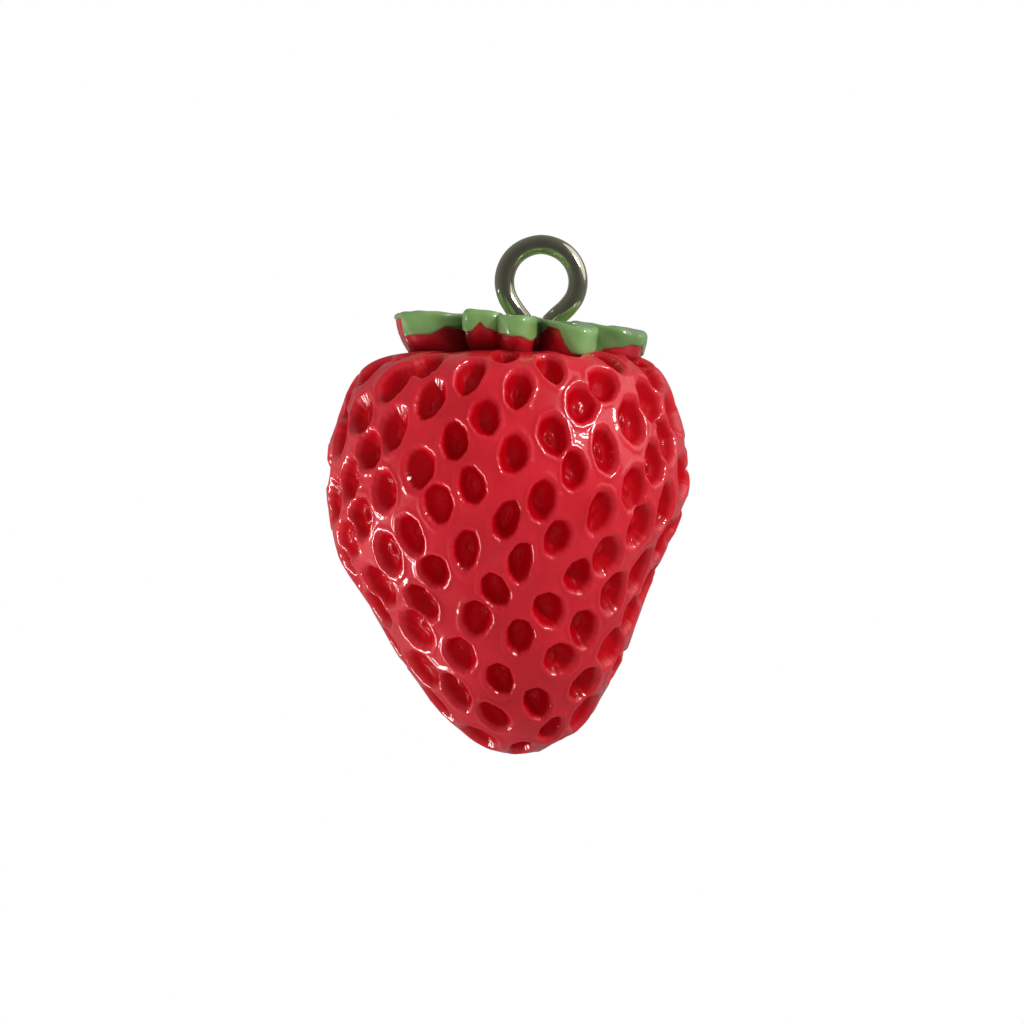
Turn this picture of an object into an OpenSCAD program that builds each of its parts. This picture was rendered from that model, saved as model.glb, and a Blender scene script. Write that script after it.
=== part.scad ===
// Strawberry charm: a cast resin berry that hangs from a nickel-plated screw eye.
// The origin is the centre of the eye's hole. +Z is up, and the hole runs along Y,
// so the loop faces the front (-Y) and the back.

/* [Berry] */
// Largest diameter of the berry
berry_d = 15.2; // [13:0.1:18]
// Height from the tip to the flat top under the crown
berry_h = 16.9; // [15:0.1:20]
// Radius of the rounded tip
tip_r = 3.6; // [2.8:0.1:4.2]
// Radius of the rounded shoulder
shoulder_r = 3.4; // [2.4:0.1:4]
// Height of the flat top above the widest level
shoulder_h = 5.3; // [4.6:0.1:6]
// Distance of the berry's axis from the eye's centre, along X
berry_x = -1.4; // [-2.5:0.1:0]
// Level of the flat top, below the eye's centre
berry_top_z = -3; // [-4:0.1:-2.8]

/* [Seed pits] */
// Distance between neighbouring pits
pit_pitch = 2.1; // [2:0.05:2.6]
// Opening of a pit on the front and the back
pit_d = 1.4; // [1:0.05:1.5]
// How much wider the pits are on the two sides
pit_side_gain = 0.2; // [0:0.05:0.3]
// Depth of a pit, as a share of its opening
pit_depth_ratio = 0.32; // [0.2:0.02:0.4]

/* [Leaf crown] */
// Distance of the crown's centre from the eye's centre, along X
crown_x = -0.85; // [-1.5:0.05:0]
// Level of the crown's rim, below the eye's centre
crown_z = -1.65; // [-2:0.05:-1.4]
// Tilt of the crown, down towards +X
crown_tilt = 4; // [0:0.5:8]
// Depth of the dish in the crown's top
crown_dish = 0.85; // [0.6:0.05:1]
// Radius of the crown at the notches between its sepals
notch_r = 3; // [2.4:0.1:3.2]
// Thickness of the crown at its rim
rim_t = 1.2; // [1:0.1:1.4]
// Radius of the neck that joins the crown to the berry
neck_r = 2.5; // [2.2:0.1:2.6]

/* [Enamel] */
// Thickness of the green coat
coat_t = 0.12; // [0.08:0.01:0.2]
// How far the coat runs down the crown's rim
coat_drop = 0.65; // [0.4:0.05:0.9]

/* [Screw eye] */
// Outer diameter of the loop
eye_d = 4; // [3.6:0.1:5]
// Diameter of the wire
wire_d = 0.9; // [0.7:0.05:1]
// Overall length, from the top of the loop to the point
eye_l = 10; // [9:0.5:12]
// Lean of the eye, its top towards +X
eye_lean = 8; // [0:1:10]
// Radius of the bend between the loop and the shank
bend_r = 1.2; // [0.9:0.1:1.3]
// Thread pitch of the shank
thread_pitch = 0.6; // [0.5:0.05:0.8]
// Diameter of the pilot hole in the berry
pilot_d = 1.1; // [1.05:0.05:1.4]

/* [Hidden] */
$fn = 64;

// Berry meridian: a shoulder arc, a big arc, a straight flank and a tip arc, each tangent
// to the next. Its own origin is on the axis, at the widest level.
berry_r = berry_d / 2;
berry_z = berry_top_z - shoulder_h;
tip_z = shoulder_h - berry_h + tip_r;
flank_a = asin((berry_r - tip_r) / -tip_z);
shoulder_a = asin((shoulder_h - shoulder_r) / (berry_r - shoulder_r));
shoulder_c = (berry_r - shoulder_r) * [cos(shoulder_a), sin(shoulder_a)];
arc_step = 6;

// Length of each stretch of the meridian, from the flat top to the tip
len_shoulder = shoulder_r * (90 - shoulder_a) * PI / 180;
len_big = berry_r * (shoulder_a + flank_a) * PI / 180;
len_flank = -tip_z * cos(flank_a);
len_tip = tip_r * (90 - flank_a) * PI / 180;
len_all = len_shoulder + len_big + len_flank + len_tip;

// Seed pits: a spiral in which each pit turns by the same angle and takes the same area
pit_area = pow(pit_pitch, 2) * sin(60);
spiral_turn = 137.57;
spiral_start = 22.5;
first_pit_s = 0.56;
tip_margin = 0.7;

// Crown: each sepal is [direction, half width, length, droop], in degrees and millimetres.
// A negative droop lifts the sepal.
SEPALS = [
    [183, 31, 5.35, 0.00],
    [238, 22, 4.40, -0.22],
    [268, 21, 4.60, -0.06],
    [306, 24, 4.90, 0.30],
    [352, 30, 5.35, 0.05],
    [42, 28, 4.90, 0.10],
    [90, 28, 4.80, 0.15],
    [137, 28, 4.90, 0.05],
];
crown_steps = 96;
// Rings of the crown's top, as shares of the rim's radius
TOP_RINGS = [0.3, 0.55, 0.8, 0.94, 1];
// How far the rim draws in at the coat's edge and at its foot
coat_edge_share = 0.99;
rim_foot_share = 0.92;
under_share = 0.5;

// Screw eye
wire_r = wire_d / 2;
loop_r = eye_d / 2 - wire_r;
land_depth = 0.02;
hole_r = loop_r - wire_r + land_depth;
bend_a = acos(bend_r / (loop_r + bend_r));
shank_top = -(loop_r + bend_r) * sin(bend_a);
shank_end = eye_d / 2 - eye_l;
loop_start = -64;
point_l = 0.8;
thread_depth = 0.08;
thread_l = shank_top - 0.9 - (shank_end + point_l);
pilot_end = shank_end - 0.3;

// A point of the meridian at a distance s along it: [radius, height, angle of its normal]
function meridian(s) =
    s < len_shoulder
        ? let (a = 90 - s / shoulder_r * 180 / PI)
            [shoulder_c[0] + shoulder_r * cos(a), shoulder_c[1] + shoulder_r * sin(a), a]
    : s < len_shoulder + len_big
        ? let (a = shoulder_a - (s - len_shoulder) / berry_r * 180 / PI)
            [berry_r * cos(a), berry_r * sin(a), a]
    : s < len_shoulder + len_big + len_flank
        ? let (t = s - len_shoulder - len_big)
            [berry_r * cos(flank_a) - t * sin(flank_a),
             -berry_r * sin(flank_a) - t * cos(flank_a), -flank_a]
    : let (a = -flank_a - (s - len_shoulder - len_big - len_flank) / tip_r * 180 / PI)
        [tip_r * cos(a), tip_z + tip_r * sin(a), a];

function arc(centre, r, from, to) =
    let (steps = ceil(abs(to - from) / arc_step))
    [for (i = [0:steps]) let (a = from + (to - from) * i / steps)
        centre + r * [cos(a), sin(a)]];

module berry_body() {
    rotate_extrude()
        polygon(concat(
            [[0, shoulder_h]],
            arc(shoulder_c, shoulder_r, 90, shoulder_a),
            arc([0, 0], berry_r, shoulder_a - arc_step, -flank_a),
            arc([0, tip_z], tip_r, -flank_a, -90)));
}

// One pit, a ball sunk into the surface at a distance s along the meridian
module seed_pit(s, turn) {
    place = meridian(s);
    opening = pit_d * (1 + pit_side_gain * pow(cos(turn), 2));
    depth = opening * pit_depth_ratio;
    ball_r = (opening * opening / 4 + depth * depth) / (2 * depth);
    rotate([0, 0, turn])
        translate([place[0], 0, place[1]])
            rotate([0, -place[2], 0])
                translate([ball_r - depth, 0, 0])
                    sphere(ball_r);
}

// Step along the meridian that takes one pit's area, by the radius half a step on
function pit_step(s) =
    pit_area / (2 * PI * meridian(s + pit_area / (4 * PI * meridian(s)[0]))[0]);

// Distance along the meridian of each pit, from the shoulder down
PIT_S = [for (s = first_pit_s; s < len_all - tip_margin; s = s + pit_step(s)) s];

module seed_pits() {
    for (n = [0:len(PIT_S) - 1]) {
        wobble_s = 0.07 * pit_pitch * sin(97 * n);
        wobble_a = 1.5 * sin(61 * n);
        seed_pit(PIT_S[n] + wobble_s, spiral_start + n * spiral_turn + wobble_a);
    }
}

// Angle between two directions, 0 to 180
function apart(a, b) = abs((a - b + 540) % 360 - 180);

// A sepal's share of a direction: 1 along its middle, 0 past its half width
function sepal_share(a, s) = apart(a, s[0]) < s[1] ? pow(cos(90 * apart(a, s[0]) / s[1]), 0.6) : 0;

function rim_r(a) = max([for (s = SEPALS) notch_r + (s[2] - notch_r) * sepal_share(a, s)]);
function rim_droop(a) = [for (s = SEPALS) s[3]] * [for (s = SEPALS) sepal_share(a, s)];
function polar(r, a, z) = [r * cos(a), r * sin(a), z];
function dish_z(share) = -crown_dish * (1 + cos(180 * share)) / 2;

function top_ring(share, lift, spread) =
    [for (i = [0:crown_steps - 1]) let (a = 360 * i / crown_steps)
        polar(rim_r(a) * share + spread, a, dish_z(share) - rim_droop(a) * pow(share, 3) + lift)];

function rim_ring(share, drop, spread) =
    [for (i = [0:crown_steps - 1]) let (a = 360 * i / crown_steps)
        polar(rim_r(a) * share + spread, a, -rim_droop(a) - drop)];

// Skin of a stack of rings closed by a point at each end. From ring number turn_at on,
// the quads are split along their other diagonal.
module ring_solid(first, rings, last, turn_at) {
    n = crown_steps;
    k = len(rings);
    function at(ring, i) = 1 + ring * n + i % n;
    points = concat([first], [for (ring = rings) each ring], [last]);
    cap = [for (i = [0:n - 1]) [0, at(0, i + 1), at(0, i)]];
    foot = [for (i = [0:n - 1]) [1 + k * n, at(k - 1, i), at(k - 1, i + 1)]];
    walls = [for (r = [0:k - 2], i = [0:n - 1], half = [0, 1])
        r < turn_at
            ? (half == 0 ? [at(r, i), at(r, i + 1), at(r + 1, i + 1)]
                         : [at(r, i), at(r + 1, i + 1), at(r + 1, i)])
            : (half == 0 ? [at(r, i), at(r, i + 1), at(r + 1, i)]
                         : [at(r, i + 1), at(r + 1, i + 1), at(r + 1, i)])];
    polyhedron(points, concat(cap, walls, foot));
}

module crown_place() {
    translate([crown_x, 0, crown_z])
        rotate([0, crown_tilt, 0])
            children();
}

module crown_core() {
    rings = concat(
        [for (share = TOP_RINGS) top_ring(share, 0, 0)],
        [rim_ring(coat_edge_share, coat_drop, 0),
         rim_ring(rim_foot_share, rim_t, 0),
         rim_ring(under_share, rim_t, 0)]);
    ring_solid([0, 0, dish_z(0)], rings, [0, 0, -rim_t], len(rings));
}

module crown_coat() {
    last = len(TOP_RINGS) - 1;
    outer = [for (i = [0:last]) top_ring(TOP_RINGS[i], coat_t, i == last ? coat_t / 2 : 0)];
    inner = [for (i = [last:-1:0]) top_ring(TOP_RINGS[i], 0, 0)];
    rings = concat(outer, [rim_ring(coat_edge_share, coat_drop, coat_t),
                           rim_ring(coat_edge_share, coat_drop, 0)], inner);
    ring_solid([0, 0, dish_z(0) + coat_t], rings, [0, 0, dish_z(0)], last + 2);
}

module eye_place() {
    rotate([0, eye_lean, 0])
        children();
}

module pilot_hole(extra) {
    eye_place()
        translate([0, 0, pilot_end])
            cylinder(d = pilot_d, h = crown_z - pilot_end + extra);
}

module neck() {
    translate([crown_x, 0, berry_top_z - 1])
        cylinder(r = neck_r, h = crown_z - rim_t - berry_top_z + 1.4);
}

module berry_casting() {
    color("crimson")
        difference() {
            union() {
                translate([berry_x, 0, berry_z])
                    difference() {
                        berry_body();
                        seed_pits();
                    }
                neck();
                crown_place()
                    crown_core();
            }
            pilot_hole(1);
        }
}

module sepal_enamel() {
    color("olivedrab")
        difference() {
            crown_place()
                crown_coat();
            pilot_hole(1);
        }
}

// Wire bent round an arc in the XZ plane, between two angles about the arc's centre
module wire_arc(r, from, to) {
    rotate([90, 0, 0])
        rotate([0, 0, from])
            rotate_extrude(angle = to - from)
                translate([r, 0])
                    circle(wire_r);
}

module loop() {
    difference() {
        wire_arc(loop_r, loop_start, 180 + bend_a);
        rotate([90, 0, 0])
            cylinder(r = hole_r, h = wire_d, center = true);
    }
}

module shank() {
    thread_z = shank_end + point_l;
    translate([0, 0, thread_z + thread_l])
        cylinder(r = wire_r, h = shank_top - thread_z - thread_l);
    translate([0, 0, thread_z])
        linear_extrude(thread_l, twist = -360 * thread_l / thread_pitch, $fn = 10,
                       slices = ceil(6 * thread_l / thread_pitch))
            translate([thread_depth / 2, 0])
                circle(wire_r - thread_depth / 2, $fn = 10);
    translate([0, 0, shank_end])
        cylinder(r1 = 0.1, r2 = wire_r - thread_depth, h = point_l);
}

module eye_wire() {
    loop();
    translate([-bend_r, 0, shank_top])
        wire_arc(bend_r, 0, bend_a);
    shank();
}

module screw_eye() {
    color("dimgray")
        eye_place()
            eye_wire();
}

module adhesive_bond() {
    color("ivory")
        difference() {
            eye_place()
                translate([0, 0, pilot_end])
                    cylinder(d = pilot_d, h = shank_top - 0.2 - pilot_end);
            eye_place()
                shank();
        }
}

berry_casting();
sepal_enamel();
screw_eye();
adhesive_bond();
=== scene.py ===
"""A cast resin strawberry charm with a painted leaf crown, hung from a nickel-plated screw eye.

Everything ends up in metres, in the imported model's frame: the origin is the centre of the eye's
hole, +Z is up and the front faces -Y. The meshes are worked out in millimetres and scaled once.
"""
import math
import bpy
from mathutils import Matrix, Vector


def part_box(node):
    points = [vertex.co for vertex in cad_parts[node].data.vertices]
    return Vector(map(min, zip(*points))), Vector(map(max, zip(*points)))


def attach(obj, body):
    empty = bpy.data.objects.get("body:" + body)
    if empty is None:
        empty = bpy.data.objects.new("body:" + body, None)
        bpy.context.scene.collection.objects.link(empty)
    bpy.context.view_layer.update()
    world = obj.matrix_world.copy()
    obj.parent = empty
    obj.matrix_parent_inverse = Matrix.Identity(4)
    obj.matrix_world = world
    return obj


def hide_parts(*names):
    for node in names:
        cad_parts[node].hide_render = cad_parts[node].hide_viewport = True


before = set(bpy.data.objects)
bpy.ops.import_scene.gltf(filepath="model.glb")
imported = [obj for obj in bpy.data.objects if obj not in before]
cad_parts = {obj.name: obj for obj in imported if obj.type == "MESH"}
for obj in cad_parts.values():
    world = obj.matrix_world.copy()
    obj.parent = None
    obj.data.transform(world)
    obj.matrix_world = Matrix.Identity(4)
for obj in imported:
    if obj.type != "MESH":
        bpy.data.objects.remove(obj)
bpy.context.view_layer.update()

from types import SimpleNamespace

import bmesh
import bpy
import numpy as np
from mathutils import Vector

MM = 0.001
BODY = "root"


def box_mm(node):
    """A CAD node's lowest and highest corners, in millimetres."""
    low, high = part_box(node)
    return np.array(low) / MM, np.array(high) / MM


# ---------------------------------------------------------------- berry sizes, from the frame
berry_low, berry_high = box_mm("berry_casting")
BERRY_R = (berry_high[0] - berry_low[0]) / 2
AXIS_X = (berry_high[0] + berry_low[0]) / 2
TIP_Z = berry_low[2]

# The meridian is a shoulder arc, a big arc, a straight flank and a tip arc, as in the CAD
BERRY_H = 16.9
SHOULDER_H = 5.3
SHOULDER_R = 3.4
TIP_R = 3.6
WIDEST_Z = TIP_Z + BERRY_H - SHOULDER_H
TIP_C = SHOULDER_H - BERRY_H + TIP_R
FLANK_A = math.asin((BERRY_R - TIP_R) / -TIP_C)
SHOULDER_A = math.asin((SHOULDER_H - SHOULDER_R) / (BERRY_R - SHOULDER_R))
SHOULDER_C = ((BERRY_R - SHOULDER_R) * math.cos(SHOULDER_A), SHOULDER_H - SHOULDER_R)
LEN_SHOULDER = SHOULDER_R * (math.pi / 2 - SHOULDER_A)
LEN_BIG = BERRY_R * (SHOULDER_A + FLANK_A)
LEN_FLANK = -TIP_C * math.cos(FLANK_A)
LEN_TIP = TIP_R * (math.pi / 2 - FLANK_A)
LEN_ALL = LEN_SHOULDER + LEN_BIG + LEN_FLANK + LEN_TIP

# Where the casting departs from the meridian: [height, place along the meridian, half width]
BULGES = [[0.25, 2.6, 1.5], [0.26, LEN_ALL - 6.2, 2.4], [-0.1, LEN_ALL - 2.8, 1.0]]
# How far the axis swings to +X at the tip, the belly and the shoulder
TIP_SWING, BELLY_SWING, SHOULDER_SWING = 0.48, -0.3, 0.2
# Height of the point that the mesh is spread from, above the widest level
HUB_H = -2.0
BERRY_CUTS = 220
# Share by which the mesh is drawn together on the front
FRONT_DENSITY = 0.25

# Seed pits: the same spiral as the CAD's
PIT_PITCH = 2.1
PIT_AREA = PIT_PITCH ** 2 * math.sin(math.radians(60))
SPIRAL_TURN = 137.57
SPIRAL_START = 22.5
FIRST_PIT_S = 0.56
TIP_MARGIN = 0.7
# How far a pit strays from the spiral: along the meridian in pitches, and round it in degrees
PIT_STRAY = (0.07, 1.5)
PIT_HALF_L = 0.86
PIT_HALF_W = 0.57
PIT_DEPTH = 0.7
# How much longer and wider the pits are on the two sides
PIT_SIDE_GAIN = (0.18, 0.5)
# Power of the bowl: the higher, the flatter its floor and the steeper its wall
PIT_BOWL = 3.2
PIT_FILLET = 0.09
PIT_LIP = 0.035
# Distance from a pit's centre past which it changes nothing
PIT_REACH = 2.2

# ---------------------------------------------------------------- crown and eye sizes
# Each sepal is [direction, half width, length, lift of its rim]
SEPALS = [
    [183, 27.5, 5.3, -0.06],
    [243, 16, 4.3, 0.15],
    [268, 14, 4.65, 0.05],
    [305, 17, 4.95, -0.22],
    [352, 30, 5.3, -0.2],
    [42, 28, 4.9, -0.32],
    [90, 28, 4.8, -0.2],
    [137, 28, 4.9, -0.1],
]
# Gaps that cut deeper between two sepals: [direction, half width, depth]
GAPS = [[220, 9, 0.9], [158, 5, 0.5], [68, 4, 0.4]]
# Directions where painted shade darkens the colour in a gap: [direction, half width, share]
RED_PAINTED_SHADE = [[217, 10, 1.0], [229, 14, 0.95], [258, 3, 0.5], [286, 6, 0.7], [158, 4, 0.5]]
GREEN_PAINTED_SHADE = [[217.5, 10, 1.0], [226, 6, 1.0], [257, 2.5, 0.35], [284, 5, 0.85],
                  [334, 12, 0.35], [158, 4, 0.5]]
CROWN_X = -0.85
CROWN_Z = -1.65
CROWN_TILT = 4
CROWN_T = 1.62
CROWN_STEPS = 960
CROWN_ANGLES = np.arange(CROWN_STEPS) * 360 / CROWN_STEPS
CROWN_TURNS = np.radians(CROWN_ANGLES)
NOTCH_R = 2.9
NECK_R = 2.6
DISH = 0.75
EDGE_R = 0.17
# How far the crown's wall leans in for each millimetre down, and is cut under at its foot
LEAN = 0.12
UNDERCUT = 0.5
# The eye's hole: its radius, and how far it lies to +X of the crown's middle
HOLE_R = 0.56
HOLE_X = 0.5
# Level of the paint's edge along X, on the front
PAINT_LINE = [
    (-6.2, -2.3), (-4.6, -2.32), (-4.0, -2.0), (-3.5, -2.15), (-2.9, -2.2), (-2.55, -1.85),
    (-2.3, -2.1), (-1.6, -2.25), (-0.8, -2.45), (-0.4, -2.62), (0.1, -2.3), (0.35, -2.0),
    (0.8, -2.15), (1.1, -2.8), (1.4, -3.1), (2.6, -3.1), (2.7, -2.95), (3.5, -2.9), (3.8, -2.7),
    (4.5, -2.65),
]
# How far down the wall the paint reaches on the back
BACK_PAINT = 0.95
# Direction and half width of the tip that the brush missed
BARE_TIP = (184, 12)
COAT_T = 0.08

# Eye: the middle of the wire in X and Z, from its cut end over the loop to its point
WIRE_R = 0.41
EYE_PATH = [
    (0.26, -1.86), (0.66, -1.48), (1.1, -1.08), (1.43, -0.6), (1.55, 0), (1.43, 0.6),
    (1.1, 1.1), (0.6, 1.43), (0, 1.56), (-0.6, 1.43), (-1.1, 1.1), (-1.43, 0.6), (-1.55, 0),
    (-1.44, -0.6), (-1.14, -1.14), (-0.78, -1.64), (-0.5, -2.14), (-0.41, -2.8), (-0.59, -4.2),
    (-0.84, -6), (-1.1, -7.85),
]
# Below EYE_PART_Z the wire's ends pass each other: to +X of EYE_SIDE behind, to -X in front
EYE_PART_Z = -1.2
EYE_SIDE = -0.1

# ---------------------------------------------------------------- studio sizes
# Brightness of the surround: below and above, and as reflections see it, ahead and behind
AMBIENT = (0.62, 0.56)
REFLECTED = (0.075, 0.24)
FLOOR_R = 60
FLOOR_DROP = 17
CAMERA_DISTANCE = 320
# Width that the camera sees at the charm, and where it stands from the berry's widest level
CAMERA_WIDTH = 43.1
CAMERA_OFFSET = (0.17, -1.4)


# ---------------------------------------------------------------- small tools
def rise(value, start, end):
    """0 before start and 1 after end, with a smooth rise between."""
    t = np.clip((value - start) / (end - start), 0, 1)
    return t * t * (3 - 2 * t)


def apart(a, b):
    """The angle between two directions in degrees, from -180 to 180."""
    return (a - b + 180) % 360 - 180


def around(values, spread):
    """Values round the crown, averaged over a few neighbours."""
    kernel = np.hanning(2 * spread + 1)[1:-1]
    kernel /= kernel.sum()
    wrapped = np.concatenate([values[-spread:], values, values[:spread]])
    return np.convolve(wrapped, kernel, "same")[spread:-spread]


def ring_normals(points):
    """Outward normals of a stack of rings."""
    along = np.roll(points, -1, 1) - np.roll(points, 1, 1)
    across = np.gradient(points, axis=0)
    normal = np.cross(across, along)
    return normal / np.maximum(np.linalg.norm(normal, axis=-1), 1e-9)[..., None]


def ring_faces(rings, steps, flip=False):
    """Quads between neighbouring rings."""
    i, j = np.meshgrid(np.arange(rings - 1), np.arange(steps), indexing="ij")
    a = i * steps + j
    b = i * steps + (j + 1) % steps
    quads = np.stack([a, a + steps, b + steps, b], -1).reshape(-1, 4)
    return (quads[:, ::-1] if flip else quads).tolist()


def end_caps(rings, steps):
    """A face that closes the first ring and one that closes the last."""
    last = (rings - 1) * steps
    return [list(range(steps)), list(range(last, last + steps))[::-1]]


def new_object(name, vertices, faces, material):
    """A smooth mesh object from vertices in millimetres."""
    mesh = bpy.data.meshes.new(name)
    mesh.from_pydata((np.asarray(vertices) * MM).tolist(), [], faces)
    mesh.update()
    mesh.shade_smooth()
    mesh.materials.append(material)
    made = bpy.data.objects.new(name, mesh)
    bpy.context.scene.collection.objects.link(made)
    return made


def piece(name, vertices, faces, material):
    """A mesh object that rides on the one body."""
    made = new_object(name, vertices, faces, material)
    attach(made, BODY)
    return made


def add_attribute(made, name, values):
    """A number for each vertex, which the materials read by name."""
    layer = made.data.attributes.new(name, "FLOAT", "POINT")
    layer.data.foreach_set("value", np.asarray(values, np.float32).reshape(-1))


# ---------------------------------------------------------------- berry
def meridian(s):
    """Radius, height and normal angle at distances s along the berry's meridian."""
    s = np.clip(np.asarray(s, float), 0, LEN_ALL)
    on_big = s - LEN_SHOULDER
    on_flank = on_big - LEN_BIG
    on_tip = on_flank - LEN_FLANK
    stretch = [on_big < 0, on_flank < 0, on_tip < 0]
    angle = np.select(
        stretch,
        [math.pi / 2 - s / SHOULDER_R, SHOULDER_A - on_big / BERRY_R, -FLANK_A],
        -FLANK_A - on_tip / TIP_R)
    cos_f, sin_f = math.cos(FLANK_A), math.sin(FLANK_A)
    r = np.select(
        stretch,
        [SHOULDER_C[0] + SHOULDER_R * np.cos(angle), BERRY_R * np.cos(angle),
         BERRY_R * cos_f - on_flank * sin_f],
        TIP_R * np.cos(angle))
    z = np.select(
        stretch,
        [SHOULDER_C[1] + SHOULDER_R * np.sin(angle), BERRY_R * np.sin(angle),
         -BERRY_R * sin_f - on_flank * cos_f],
        TIP_C + TIP_R * np.sin(angle))
    return r, z, angle


def on_berry(s, turn):
    """Points and outward normals at meridian distance s and direction turn, about the axis."""
    r, z, angle = meridian(s)
    point = np.stack([r * np.cos(turn), r * np.sin(turn), z], -1)
    flat = np.cos(angle)
    normal = np.stack([flat * np.cos(turn), flat * np.sin(turn), np.sin(angle)], -1)
    return point, normal


def cube_sphere(cuts):
    """Unit directions and quads of a cube's faces, each cut into cuts by cuts cells."""
    bm = bmesh.new()
    bmesh.ops.create_grid(bm, x_segments=cuts, y_segments=cuts, size=1)
    bm.verts.ensure_lookup_table()
    flat = np.array([v.co[:] for v in bm.verts])
    quads = np.array([[v.index for v in f.verts] for f in bm.faces])
    bm.free()
    warp = np.tan(flat[:, :2] * math.pi / 4)
    one = np.ones(len(flat))
    a, b = warp[:, 0], warp[:, 1]
    sides = [(a, b, one), (b, a, -one), (a, -one, b), (b, one, a), (one, a, b), (-one, b, a)]
    points = np.concatenate([np.stack(side, 1) for side in sides])
    points /= np.linalg.norm(points, axis=1)[:, None]
    faces = np.concatenate([quads + i * len(flat) for i in range(len(sides))])
    return points, faces


def weld(points, faces):
    """Join the cube's faces along their shared edges."""
    keys = np.round(points * 1e6).astype(np.int64)
    _, first, index = np.unique(keys, axis=0, return_index=True, return_inverse=True)
    return points[first], index.reshape(-1)[faces]


def pit_places():
    """Meridian distance and direction of every pit, from the shoulder down."""
    places = []
    s, n = FIRST_PIT_S, 0
    while s < LEN_ALL - TIP_MARGIN:
        stray_s = PIT_STRAY[0] * PIT_PITCH * math.sin(math.radians(97 * n))
        stray_a = PIT_STRAY[1] * math.sin(math.radians(61 * n))
        places.append((s + stray_s, math.radians(SPIRAL_START + n * SPIRAL_TURN + stray_a)))
        half = PIT_AREA / (4 * math.pi * meridian(s)[0])
        s += PIT_AREA / (2 * math.pi * meridian(s + half)[0])
        n += 1
    return places


def draw_pit(s, turn, rng, drop_rng):
    """The sizes of one pit, its seed and the droplet beside it, spread round the usual ones."""
    side = math.cos(turn) ** 2
    taper = 1 - 0.1 * rise(s, LEN_ALL - 8, LEN_ALL - 3)
    pit = SimpleNamespace()
    pit.half_l = PIT_HALF_L * (1 + PIT_SIDE_GAIN[0] * side) * taper * rng.uniform(0.88, 1.08)
    pit.half_w = PIT_HALF_W * (1 + PIT_SIDE_GAIN[1] * side) * taper * rng.uniform(0.9, 1.12)
    pit.depth = PIT_DEPTH * (1 - 0.3 * side) * rng.uniform(0.85, 1.15)
    pit.lean = rng.normal(0, 0.12)
    pit.phase = rng.uniform(0, 2 * math.pi, 2)
    pit.seed_l, pit.seed_w = rng.uniform(0.22, 0.3), rng.uniform(0.14, 0.2)
    pit.seed_h = rng.uniform(0.02, 0.2)
    pit.seed_at = rng.normal(0, 0.1, 2)
    drop_way, pit.drop_r = drop_rng.uniform(-0.4, 2.0), drop_rng.uniform(0.13, 0.2)
    pit.drop_h = pit.drop_r * drop_rng.uniform(0.1, 0.5) * (1 - side) ** 2
    pit.drop_at = (1.16 * pit.half_l * math.cos(drop_way), 1.22 * pit.half_w * math.sin(drop_way))
    return pit


def pit_form(pit, u, v):
    """How deep a pit is at places u down and v across from its centre, and how high its seed,
    droplet or lip stands there."""
    way = np.arctan2(v / pit.half_w, u / pit.half_l)
    ragged = 1 + 0.05 * np.sin(2 * way + pit.phase[0]) + 0.03 * np.sin(3 * way + pit.phase[1])
    ragged += 0.02 * np.sin(7 * way + pit.phase[0]) + 0.012 * np.sin(15 * way + pit.phase[1])
    q = np.sqrt((u / pit.half_l) ** 2 + (v / pit.half_w) ** 2) * ragged
    bowl = np.minimum(pit.depth * (q ** PIT_BOWL - 1), 3)
    grit = np.sin(9 * u + pit.phase[0]) * np.sin(11 * v + pit.phase[1]) + np.sin(14 * u - 12 * v)
    bowl += 0.012 * grit * np.clip(1.1 - q, 0, 1)
    seed_u, seed_v = (u - pit.seed_at[0]) / pit.seed_l, (v - pit.seed_at[1]) / pit.seed_w
    seed = pit.seed_h * np.exp(-seed_u ** 2 - seed_v ** 2)
    drop_u, drop_v = u - pit.drop_at[0], v - pit.drop_at[1]
    drop = pit.drop_h * np.exp(-(drop_u ** 2 + drop_v ** 2) / pit.drop_r ** 2)
    lip = PIT_LIP * np.exp(-((q - 1.2) / 0.15) ** 2)
    return -bowl, np.max([seed, drop, lip], axis=0)


def pit_relief(points, normals):
    """How far each point sinks into the pits, and how deep in a pit and how far up a seed,
    droplet or lip it is, both from 0 to 1."""
    rng, drop_rng = np.random.default_rng(7), np.random.default_rng(11)
    soft = np.ones(len(points))
    bumps = np.zeros(len(points))
    for s, turn in pit_places():
        pit = draw_pit(s, turn, rng, drop_rng)
        centre, normal = on_berry(s, turn)
        along = np.array([-math.sin(turn), math.cos(turn), 0.0])
        down = np.cross(along, normal)
        offset = points - centre
        near = np.nonzero((offset ** 2).sum(1) < PIT_REACH ** 2)[0]
        near = near[(normals[near] @ normal) > 0.3]
        u, v = offset[near] @ down, offset[near] @ along
        cos_l, sin_l = math.cos(pit.lean), math.sin(pit.lean)
        deep, raised = pit_form(pit, u * cos_l + v * sin_l, v * cos_l - u * sin_l)
        # The pits and the skin blend with a fillet
        soft[near] += np.exp(np.clip(deep / PIT_FILLET, -40, 40))
        bumps[near] = np.maximum(bumps[near], raised)
    sunk = PIT_FILLET * np.log(soft)
    return sunk - bumps, np.clip(sunk / PIT_DEPTH, 0, 1), np.clip(bumps / 0.15, 0, 1)


def waviness(points):
    """The slow unevenness of a hand-filled casting, in millimetres."""
    x, y, z = points.T
    return (0.045 * np.sin(0.9 * x + 0.5 * z + 1.0) * np.cos(0.8 * y - 0.3 * z)
            + 0.03 * np.sin(1.7 * x - 1.3 * y + 0.9 * z))


def fullness(s):
    """How far the casting stands proud of the plain meridian."""
    return sum(height * np.exp(-((s - place) / width) ** 2) for height, place, width in BULGES)


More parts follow.
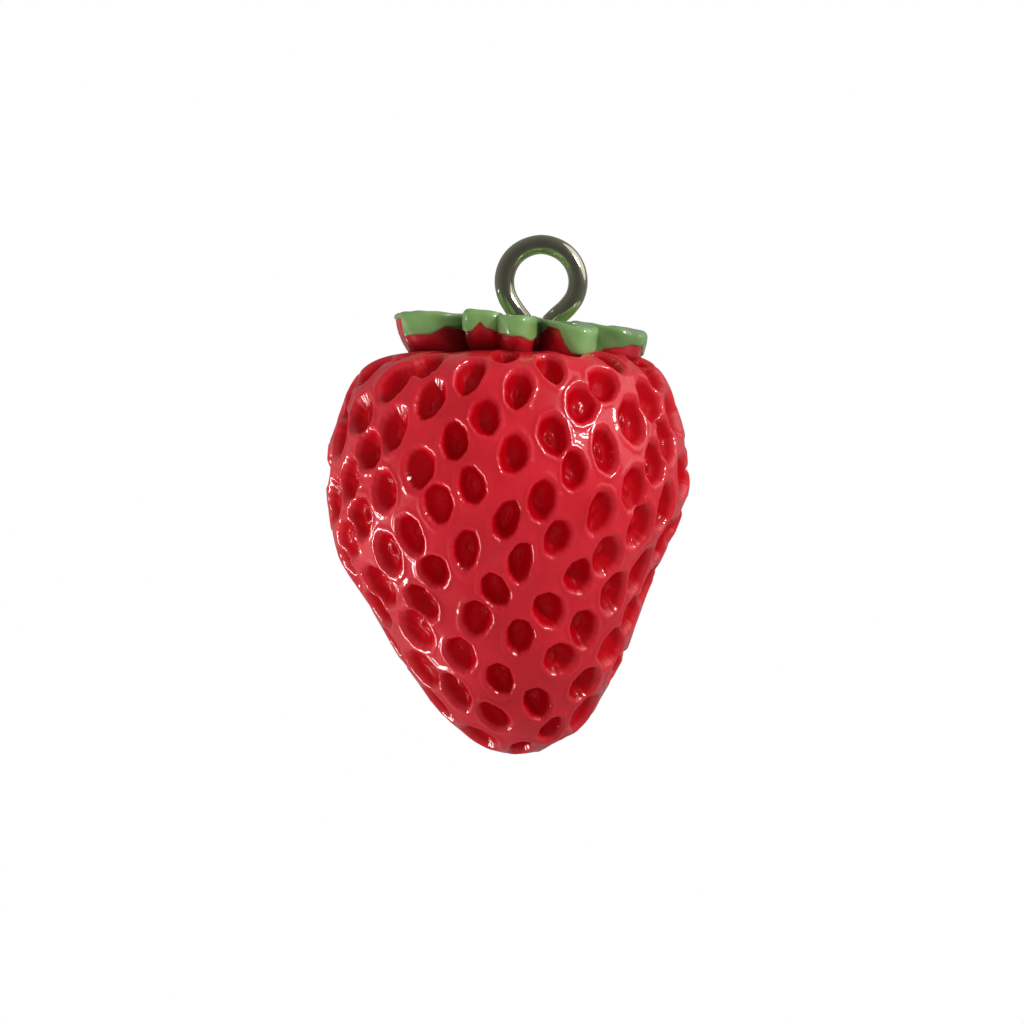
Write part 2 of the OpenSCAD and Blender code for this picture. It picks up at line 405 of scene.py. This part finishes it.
def lean_of(z):
    """How far the berry's axis swings to +X at a height above its widest level."""
    tip = TIP_SWING * np.clip((-z - 4.5) / 7, 0, 1) ** 1.3
    belly = BELLY_SWING * np.exp(-((z + 3.4) / 2.0) ** 2)
    shoulder = SHOULDER_SWING * np.clip((z - 2.5) / 3, 0, 1)
    return tip + belly + shoulder


def spread_on_berry(directions):
    """Where directions from the hub meet the plain berry: the distance along the meridian, the
    point and its normal."""
    s = np.linspace(0, LEN_ALL, 4001)
    r, z, _ = meridian(s)
    slopes = np.arctan2(z - HUB_H, r)
    polar = np.arcsin(np.clip(directions[:, 2], -1, 1))
    turn = np.arctan2(directions[:, 1], directions[:, 0])
    at = np.interp(-polar, -slopes, s)
    points, normals = on_berry(at, turn)
    # The flat top, from the shoulder's edge to the middle
    on_top = polar > slopes[0]
    top_r = (SHOULDER_H - HUB_H) / np.tan(np.maximum(polar, 0.1))
    points[on_top] = np.stack([top_r * np.cos(turn), top_r * np.sin(turn),
                               np.full(len(turn), SHOULDER_H)], -1)[on_top]
    normals[on_top] = (0, 0, 1)
    return at, points, normals


def make_berry(material):
    directions, faces = weld(*cube_sphere(BERRY_CUTS))
    directions = directions + np.array([0, -FRONT_DENSITY, 0])
    directions /= np.linalg.norm(directions, axis=1)[:, None]
    at, points, normals = spread_on_berry(directions)
    sunk, depth, seed = pit_relief(points, normals)
    moved = points + normals * (fullness(at) + waviness(points) - sunk)[:, None]
    moved[:, 0] += AXIS_X + lean_of(points[:, 2])
    moved[:, 2] += WIDEST_Z
    berry = piece("berry_body", moved, faces.tolist(), material)
    add_attribute(berry, "pit_depth", depth)
    add_attribute(berry, "seed", seed)
    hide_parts("berry_casting")


# ---------------------------------------------------------------- crown
def lobe(sepal):
    """A sepal's share of each direction: 1 along its middle, 0 past its half width."""
    u = np.abs(apart(CROWN_ANGLES, sepal[0])) / sepal[1]
    return np.clip(1 - u ** 2.3, 0, 1) ** 0.6


def rim_shape():
    """Radius and level of the crown's rim in each direction."""
    shares = [lobe(sepal) for sepal in SEPALS]
    r = np.max([NOTCH_R + (sepal[2] - NOTCH_R) * f for sepal, f in zip(SEPALS, shares)], axis=0)
    level = sum(sepal[3] * f for sepal, f in zip(SEPALS, shares))
    for direction, width, depth in GAPS:
        r = r - depth * np.exp(-(apart(CROWN_ANGLES, direction) / width) ** 2)
    folds = 0.07 * np.sin(11 * CROWN_TURNS + math.radians(40)) + 0.05 * np.sin(23 * CROWN_TURNS)
    return around(r, 4) + folds, around(level, 6)


def paint_reach(rim_r, rim_z):
    """How far down the crown's wall the paint reaches in each direction."""
    cos_t, sin_t = np.cos(CROWN_TURNS), np.sin(CROWN_TURNS)
    tilt_z = -rim_r * cos_t * math.sin(math.radians(CROWN_TILT))
    levels_x, levels = zip(*PAINT_LINE)
    line = np.interp(CROWN_X + rim_r * cos_t, levels_x, levels)
    front = rise(-sin_t, 0.0, 0.25)
    paint = around(front * (CROWN_Z + rim_z + tilt_z - line) + (1 - front) * BACK_PAINT, 3)
    paint += 0.03 * np.sin(17 * CROWN_TURNS) + 0.02 * np.sin(41 * CROWN_TURNS)
    bare = rise(BARE_TIP[1] - np.abs(apart(CROWN_ANGLES, BARE_TIP[0])), 0, 3)
    return np.clip(paint * (1 - bare), EDGE_R + 0.02, CROWN_T - 0.12)


def crown_profile():
    """Radii and heights of the cast crown's rings, from the eye's hole over the rim to the neck.
    Also the number of the ring at the paint's edge."""
    rim_r, rim_z = rim_shape()
    paint = paint_reach(rim_r, rim_z)
    rings = []

    def ring(r, z):
        rings.append((r * np.ones(CROWN_STEPS), z * np.ones(CROWN_STEPS)))

    ring(HOLE_R, -2.2)
    ring(HOLE_R, -DISH - 0.15)
    for share in np.linspace(0, 1, 24) ** 0.8:
        r = HOLE_R + (rim_r - EDGE_R - HOLE_R) * share
        fold = 0.05 * np.sin(9 * CROWN_TURNS + 1) * share
        knuckle = 0.9 * np.maximum(-rim_z, 0) * math.exp(-((share - 0.7) / 0.16) ** 2)
        dish = -DISH * (1 + math.cos(math.pi * share)) / 2
        ring(r, dish + rim_z * share ** 2.5 + fold + knuckle)
    top = rings[-1][1]
    for t in np.linspace(0, math.pi / 2, 6)[1:]:
        ring(rim_r - EDGE_R * (1 - math.sin(t)), top - EDGE_R * (1 - math.cos(t)))
    for share in [0.15, 0.3, 0.45, 0.6, 0.72, 0.82, 0.9, 0.95, 0.98, 1]:
        ring(rim_r - LEAN * share * paint, top - EDGE_R - (paint - EDGE_R) * share)
    edge = len(rings) - 1
    for share in np.linspace(0, 1, 9)[1:]:
        depth = paint + (CROWN_T - paint) * share
        ring(rim_r - LEAN * depth - UNDERCUT * share ** 2, top - depth)
    foot = rim_r - LEAN * CROWN_T - UNDERCUT
    for share in np.linspace(0, 1, 7)[1:]:
        dip = 0.1 * math.sin(math.pi * share)
        ring(foot + (NECK_R - foot) * share, top * (1 - share) - CROWN_T - dip)
    ring(NECK_R + 0.1, -CROWN_T - 0.4)
    ring(NECK_R + 0.3, -CROWN_T - 1.2)
    r, z = (np.array(values) for values in zip(*rings))
    return r, z, edge


def crown_grain(points):
    """Small unevenness of the casting, in millimetres."""
    x, y, z = np.moveaxis(points, -1, 0)
    return (0.02 * np.sin(3.1 * x + 1.7 * y) * np.cos(2.3 * y - 2 * z)
            + 0.012 * np.sin(7 * x - 5 * y + 6 * z))


def crown_surface():
    """Rings of points on the tilted crown, their normals, and the number of the ring at the
    paint's edge."""
    r, z, edge = crown_profile()
    x = r * np.cos(CROWN_TURNS) + HOLE_X * (1 - rise(r, 0.6, 3.0))
    tilt = math.radians(CROWN_TILT)
    points = np.stack([
        CROWN_X + x * math.cos(tilt) + z * math.sin(tilt),
        r * np.sin(CROWN_TURNS),
        CROWN_Z - x * math.sin(tilt) + z * math.cos(tilt)], -1)
    normals = ring_normals(points)
    return points + normals * crown_grain(points)[..., None], normals, edge


def painted_shade_of(shaded_gaps):
    """How much painted shade each direction gets in a gap between two sepals, from 0 to 1."""
    return np.max([share * np.exp(-(apart(CROWN_ANGLES, direction) / width) ** 6)
                   for direction, width, share in shaded_gaps], axis=0)


def make_crown_casting(points, edge, material):
    """The red resin of the crown, with painted shade below the paint and in the gaps."""
    rings = len(points)
    faces = ring_faces(rings, CROWN_STEPS) + end_caps(rings, CROWN_STEPS)
    crown = piece("crown_casting", points.reshape(-1, 3), faces, material)
    # Painted shade: darker down the wall below the paint, and in the gaps between sepals.
    foot = 0.17 + 0.58 * rise(np.arange(rings), edge + 1, edge + 9)
    add_attribute(crown, "painted_shade", np.maximum(foot[:, None], painted_shade_of(RED_PAINTED_SHADE)[None]))
    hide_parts("berry_casting")


def make_crown_enamel(painted, normals, material):
    """The coat of paint, which rounds off to nothing at its edge."""
    back = np.linalg.norm(painted - painted[-1], axis=-1)
    thick = COAT_T * np.sqrt(1 - (1 - np.clip(back / 0.12, 0, 1)) ** 2) + 0.004
    outer = painted + normals * thick[..., None]
    inner = painted - normals * 0.03
    shell = np.concatenate([outer, inner[::-1]])
    faces = ring_faces(len(shell), CROWN_STEPS)
    last = (len(shell) - 1) * CROWN_STEPS
    for j in range(CROWN_STEPS):
        k = (j + 1) % CROWN_STEPS
        faces.append([last + j, j, k, last + k])
    enamel = piece("crown_enamel", shell.reshape(-1, 3), faces, material)
    count = len(painted)
    wall = rise(np.arange(count), count - 18, count - 10)
    # Painted shade on the painted wall in the gaps between sepals.
    shade = wall[:, None] * painted_shade_of(GREEN_PAINTED_SHADE)[None]
    add_attribute(enamel, "painted_shade", np.concatenate([shade, shade[::-1]]))
    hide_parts("sepal_enamel")


def make_crown(red_material, green_material):
    points, normals, edge = crown_surface()
    make_crown_casting(points, edge, red_material)
    coated = slice(1, edge + 1)
    make_crown_enamel(points[coated], normals[coated], green_material)


# ---------------------------------------------------------------- eye
def smooth_path(points, steps):
    """A smooth curve through points (Catmull-Rom), with steps per stretch."""
    p = np.array(points, float)
    p = np.concatenate([[2 * p[0] - p[1]], p, [2 * p[-1] - p[-2]]])
    t = np.linspace(0, 1, steps, endpoint=False)[:, None]
    curve = []
    for a, b, c, d in zip(p[:-3], p[1:-2], p[2:-1], p[3:]):
        curve.append(0.5 * (2 * b + (c - a) * t + (2 * a - 5 * b + 4 * c - d) * t ** 2
                            + (3 * b - a - 3 * c + d) * t ** 3))
    return np.concatenate(curve + [p[-2][None]])


def make_eye(material):
    """A wire bent into a teardrop loop, whose tail runs down into the berry."""
    curve = smooth_path(EYE_PATH, 14)
    path = np.stack([curve[:, 0], np.zeros(len(curve)), curve[:, 1]], -1)
    parted = rise(-path[:, 2], -EYE_PART_Z, 0.8 - EYE_PART_Z)
    path[:, 1] = 0.12 * parted * np.sign(path[:, 0] - EYE_SIDE)
    ahead = np.gradient(path, axis=0)
    ahead /= np.linalg.norm(ahead, axis=1)[:, None]
    side = np.cross(ahead, [0, 1, 0])
    side /= np.linalg.norm(side, axis=1)[:, None]
    up = np.cross(side, ahead)
    from_start = np.concatenate([[0], np.cumsum(np.linalg.norm(np.diff(path, axis=0), axis=1))])
    from_end = from_start[-1] - from_start
    # The cut end is a little rounded and the tail runs out to a point
    r = WIRE_R * np.sqrt(1 - (1 - np.clip(from_start / 0.2, 0, 1)) ** 2 * 0.5)
    r = r * (0.2 + 0.8 * rise(from_end, 0, 1.0)) * (1 + 0.012 * np.sin(2.1 * from_start))
    steps = 40
    turn = np.arange(steps) * 2 * math.pi / steps
    ring = (side[:, None] * np.cos(turn)[None, :, None] + up[:, None] * np.sin(turn)[None, :, None])
    points = path[:, None] + ring * r[:, None, None]
    faces = ring_faces(len(points), steps, flip=True) + end_caps(len(points), steps)
    eye = piece("eye_wire", points.reshape(-1, 3), faces, material)
    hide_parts("screw_eye")


# ---------------------------------------------------------------- materials
class Nodes:
    """A short way to write a material's node tree."""

    def __init__(self, name):
        self.material = bpy.data.materials.new(name)
        self.material.use_nodes = True
        self.tree = self.material.node_tree
        self.tree.nodes.clear()

    def add(self, kind, **values):
        """A node, with its sockets set by name and joined to other nodes' sockets."""
        node = self.tree.nodes.new(kind)
        for key, value in values.items():
            if key in node.inputs:
                self.put(node.inputs[key], value)
            else:
                setattr(node, key, value)
        return node

    def put(self, socket, value):
        """Join a socket to another node's, or give it a plain value."""
        if isinstance(value, bpy.types.NodeSocket):
            self.tree.links.new(value, socket)
        else:
            socket.default_value = value

    def attribute(self, name):
        """A number that the mesh carries at each vertex, or 0 where it carries none."""
        return self.add("ShaderNodeAttribute", attribute_name=name).outputs["Fac"]

    def object_space(self):
        return self.add("ShaderNodeTexCoord").outputs["Object"]

    def noise(self, scale, detail=2.0, roughness=0.5):
        """Noise with its cells 1/scale metres across."""
        node = self.add("ShaderNodeTexNoise", Vector=self.object_space(), Scale=scale,
                        Detail=detail, Roughness=roughness)
        return node.outputs["Fac"]

    def ramp(self, factor, stops):
        """Colours along a factor: each stop is (place, colour)."""
        node = self.add("ShaderNodeValToRGB", Fac=factor)
        ramp = node.color_ramp
        for i, (place, colour) in enumerate(stops):
            stop = ramp.elements[i] if i < 2 else ramp.elements.new(place)
            stop.position, stop.color = place, (*colour, 1)
        return node.outputs["Color"]

    def grey(self, factor, stops):
        """A ramp of plain values."""
        return self.ramp(factor, [(place, (value, value, value)) for place, value in stops])

    def spread(self, factor, low, high):
        """A factor of 0.3 to 0.7, as noise gives, stretched from low to high."""
        node = self.add("ShaderNodeMapRange", Value=factor)
        node.inputs["From Min"].default_value = 0.3
        node.inputs["From Max"].default_value = 0.7
        node.inputs["To Min"].default_value = low
        node.inputs["To Max"].default_value = high
        return node.outputs["Result"]

    def multiply(self, a, b):
        """One colour times another."""
        node = self.add("ShaderNodeMix", data_type="RGBA", blend_type="MULTIPLY")
        self.put(node.inputs[0], 1.0)
        self.put(node.inputs[6], a)
        self.put(node.inputs[7], b)
        return node.outputs[2]

    def larger(self, a, b):
        node = self.add("ShaderNodeMath", operation="MAXIMUM")
        self.put(node.inputs[0], a)
        self.put(node.inputs[1], b)
        return node.outputs["Value"]

    def bump(self, height, strength, distance):
        node = self.add("ShaderNodeBump", Height=height, Strength=strength, Distance=distance)
        return node.outputs["Normal"]

    def finish(self, shader):
        """Join the shader to the output."""
        self.add("ShaderNodeOutputMaterial", Surface=shader)
        return self.material


def resin_red():
    """Glossy red resin, duller in the pits, with glossy seeds. Painted shade makes it deeper red in
    the pits and darker under the crown."""
    m = Nodes("red_resin")
    depth = m.attribute("pit_depth")
    cloud = m.ramp(m.noise(420, 5), [(0.3, (0.53, 0.004, 0.013)), (0.7, (0.67, 0.011, 0.026))])
    # Painted shade in the pits: the red darkens with their depth.
    pit = m.ramp(depth, [(0.14, (1, 1, 1)), (0.32, (0.76, 0.05, 0.26))])
    # Painted shade under the crown and in the gaps between sepals.
    shade = m.ramp(m.attribute("painted_shade"), [(0, (1, 1, 1)), (1, (0.14, 0.05, 0.07))])
    open_skin = m.grey(depth, [(0.18, 0.9), (0.45, 0.1)])
    shader = m.add("ShaderNodeBsdfPrincipled", **{
        "Base Color": m.multiply(m.multiply(cloud, pit), shade),
        "Roughness": m.spread(m.noise(900, 3), 0.34, 0.46),
        "IOR": 1.45,
        "Specular IOR Level": m.grey(depth, [(0.12, 0.26), (0.4, 0.06)]),
        "Subsurface Weight": 0.1,
        "Subsurface Scale": 0.0004,
        "Coat Weight": m.larger(open_skin, m.attribute("seed")),
        "Coat Roughness": 0.055,
        "Coat IOR": 1.5,
        "Normal": m.bump(m.noise(2500, 2), 0.1, 0.00002),
        "Coat Normal": m.bump(m.noise(2000, 2), 0.5, 0.00004),
    })
    shader.inputs["Subsurface Radius"].default_value = (1.0, 0.12, 0.1)
    return m.finish(shader.outputs["BSDF"])


def enamel_green():
    """Thick leaf-green enamel, slightly cloudy, with painted shade in the gaps between the sepals.
    """
    m = Nodes("green_enamel")
    cloud = m.ramp(m.noise(500, 4), [(0.3, (0.17, 0.33, 0.09)), (0.7, (0.24, 0.42, 0.14))])
    # Painted shade in the gaps between the sepals.
    shade = m.ramp(m.attribute("painted_shade"), [(0, (1, 1, 1)), (1, (0.05, 0.09, 0.05))])
    shader = m.add("ShaderNodeBsdfPrincipled", **{
        "Base Color": m.multiply(cloud, shade),
        "Roughness": m.spread(m.noise(1200, 3), 0.18, 0.34),
        "IOR": 1.5,
        "Coat Weight": 0.9,
        "Coat Roughness": 0.05,
        "Normal": m.bump(m.noise(1100, 3), 0.3, 0.00006),
    })
    return m.finish(shader.outputs["BSDF"])


def nickel():
    """Nickel plate that has yellowed a little, with a finely uneven polish."""
    m = Nodes("nickel_wire")
    tint = m.ramp(m.noise(700, 3), [(0.3, (0.60, 0.58, 0.43)), (0.7, (0.70, 0.68, 0.52))])
    shader = m.add("ShaderNodeBsdfPrincipled", **{
        "Base Color": tint,
        "Metallic": 1.0,
        "Roughness": m.spread(m.noise(1500, 4), 0.09, 0.17),
        "Normal": m.bump(m.noise(4000, 3), 0.15, 0.00001),
    })
    return m.finish(shader.outputs["BSDF"])


def adhesive():
    """Cured clear glue, slightly yellow."""
    m = Nodes("clear_adhesive")
    tint = m.ramp(m.noise(900, 2), [(0.3, (0.72, 0.68, 0.58)), (0.7, (0.8, 0.77, 0.68))])
    shader = m.add("ShaderNodeBsdfPrincipled", **{
        "Base Color": tint,
        "Roughness": m.spread(m.noise(1500, 2), 0.2, 0.35),
        "Transmission Weight": 0.4,
    })
    return m.finish(shader.outputs["BSDF"])


# ---------------------------------------------------------------- studio
def make_world():
    """A white surround for the camera. Diffuse light comes evenly from all round. Reflections
    see a surround that is dark on the front and brighter behind."""
    world = bpy.data.worlds.new("studio")
    bpy.context.scene.world = world
    world.use_nodes = True
    tree = world.node_tree
    tree.nodes.clear()
    axes = tree.nodes.new("ShaderNodeSeparateXYZ")
    tree.links.new(tree.nodes.new("ShaderNodeTexCoord").outputs["Generated"], axes.inputs[0])

    def surround(strength, axis=None):
        """A background, with its strength fixed or running between two values along an axis."""
        node = tree.nodes.new("ShaderNodeBackground")
        node.inputs["Color"].default_value = (1, 1, 1, 1)
        if axis is None:
            node.inputs["Strength"].default_value = strength
            return node
        spread = tree.nodes.new("ShaderNodeMapRange")
        spread.inputs["From Min"].default_value = -1
        spread.inputs["To Min"].default_value, spread.inputs["To Max"].default_value = strength
        tree.links.new(axes.outputs[axis], spread.inputs["Value"])
        tree.links.new(spread.outputs["Result"], node.inputs["Strength"])
        return node

    path = tree.nodes.new("ShaderNodeLightPath")
    shader = surround(AMBIENT, "Z").outputs[0]
    for ray, node in (("Is Glossy Ray", surround(REFLECTED, "Y")), ("Is Camera Ray", surround(1))):
        mix = tree.nodes.new("ShaderNodeMixShader")
        tree.links.new(path.outputs[ray], mix.inputs[0])
        tree.links.new(shader, mix.inputs[1])
        tree.links.new(node.outputs[0], mix.inputs[2])
        shader = mix.outputs[0]
    tree.links.new(shader, tree.nodes.new("ShaderNodeOutputWorld").inputs[0])


def floor_paint(floor_z):
    """Pale matt paint that fades out towards the floor's rim."""
    m = Nodes("floor")
    tint = m.ramp(m.noise(20, 2), [(0.3, (0.84, 0.84, 0.84)), (0.7, (0.88, 0.88, 0.88))])
    paint = m.add("ShaderNodeBsdfPrincipled", **{
        "Base Color": tint, "Roughness": 0.6, "Emission Color": tint, "Emission Strength": 0.6})
    place = m.add("ShaderNodeMapping", Vector=m.object_space())
    place.inputs["Location"].default_value = (0, 0, -floor_z / FLOOR_R)
    place.inputs["Scale"].default_value = [1 / (FLOOR_R * MM)] * 3
    ball = m.add("ShaderNodeTexGradient", gradient_type="SPHERICAL", Vector=place.outputs[0])
    mix = m.add("ShaderNodeMixShader")
    m.put(mix.inputs[0], m.grey(ball.outputs["Fac"], [(0, 0.0), (0.6, 1.0)]))
    m.put(mix.inputs[1], m.add("ShaderNodeBsdfTransparent").outputs[0])
    m.put(mix.inputs[2], paint.outputs[0])
    return m.finish(mix.outputs[0])


def make_floor():
    """A pale disc below the charm."""
    floor_z = TIP_Z - FLOOR_DROP
    steps = 96
    turns = [2 * math.pi * i / steps for i in range(steps)]
    rim = [(FLOOR_R * math.cos(t), FLOOR_R * math.sin(t), floor_z) for t in turns]
    floor = new_object("floor", rim, [list(range(steps))], floor_paint(floor_z))
    floor.visible_glossy = floor.visible_diffuse = False


def softbox(name, direction, distance, size, power, glossy=True):
    """An area light aimed at the middle of the charm. Its direction is (turn from the front to
    +X, climb) in degrees, and its distance and size are in millimetres. A light that isn't
    glossy makes no highlights."""
    light = bpy.data.lights.new(name, "AREA")
    light.shape = "ELLIPSE"
    light.size, light.size_y = size[0] * MM, size[1] * MM
    light.energy = power
    lamp = bpy.data.objects.new(name, light)
    aim = Vector((AXIS_X, 0, WIDEST_Z)) * MM
    turn, climb = (math.radians(a) for a in direction)
    flat = math.cos(climb)
    way = Vector((math.sin(turn) * flat, -math.cos(turn) * flat, math.sin(climb)))
    lamp.location = aim + way * distance * MM
    lamp.rotation_euler = (-way).to_track_quat("-Z", "Y").to_euler()
    lamp.visible_camera = False
    lamp.visible_glossy = glossy
    bpy.context.scene.collection.objects.link(lamp)


def make_lights():
    softbox("key", (56, 28), 160, (31, 25), 0.125)
    softbox("left", (-92, -28), 150, (26, 110), 0.18)
    softbox("window", (90, 34), 150, (160, 160), 0.055)
    softbox("low_fill", (-8, -42), 150, (70, 70), 0.1, glossy=False)
    softbox("top_fill", (10, 70), 150, (90, 90), 0.005, glossy=False)


def make_camera():
    """Level with the berry's middle, far enough off to be almost free of perspective."""
    camera = bpy.data.cameras.new("camera")
    camera.lens = camera.sensor_width * CAMERA_DISTANCE / CAMERA_WIDTH
    camera.clip_start, camera.clip_end = 0.01, 5
    rig = bpy.data.objects.new("camera", camera)
    place = (AXIS_X + CAMERA_OFFSET[0], -CAMERA_DISTANCE, WIDEST_Z + CAMERA_OFFSET[1])
    rig.location = Vector(place) * MM
    rig.rotation_euler = (math.pi / 2, 0, 0)
    bpy.context.scene.collection.objects.link(rig)
    bpy.context.scene.camera = rig


# ---------------------------------------------------------------- build
def dress(node, material):
    """Put a material on a CAD node that keeps its own mesh."""
    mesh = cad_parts[node].data
    mesh.materials.clear()
    mesh.materials.append(material)


bpy.context.scene.view_settings.view_transform = "Standard"
make_camera()
make_world()
make_floor()
make_lights()
red = resin_red()
make_berry(red)
make_crown(red, enamel_green())
make_eye(nickel())
dress("adhesive_bond", adhesive())
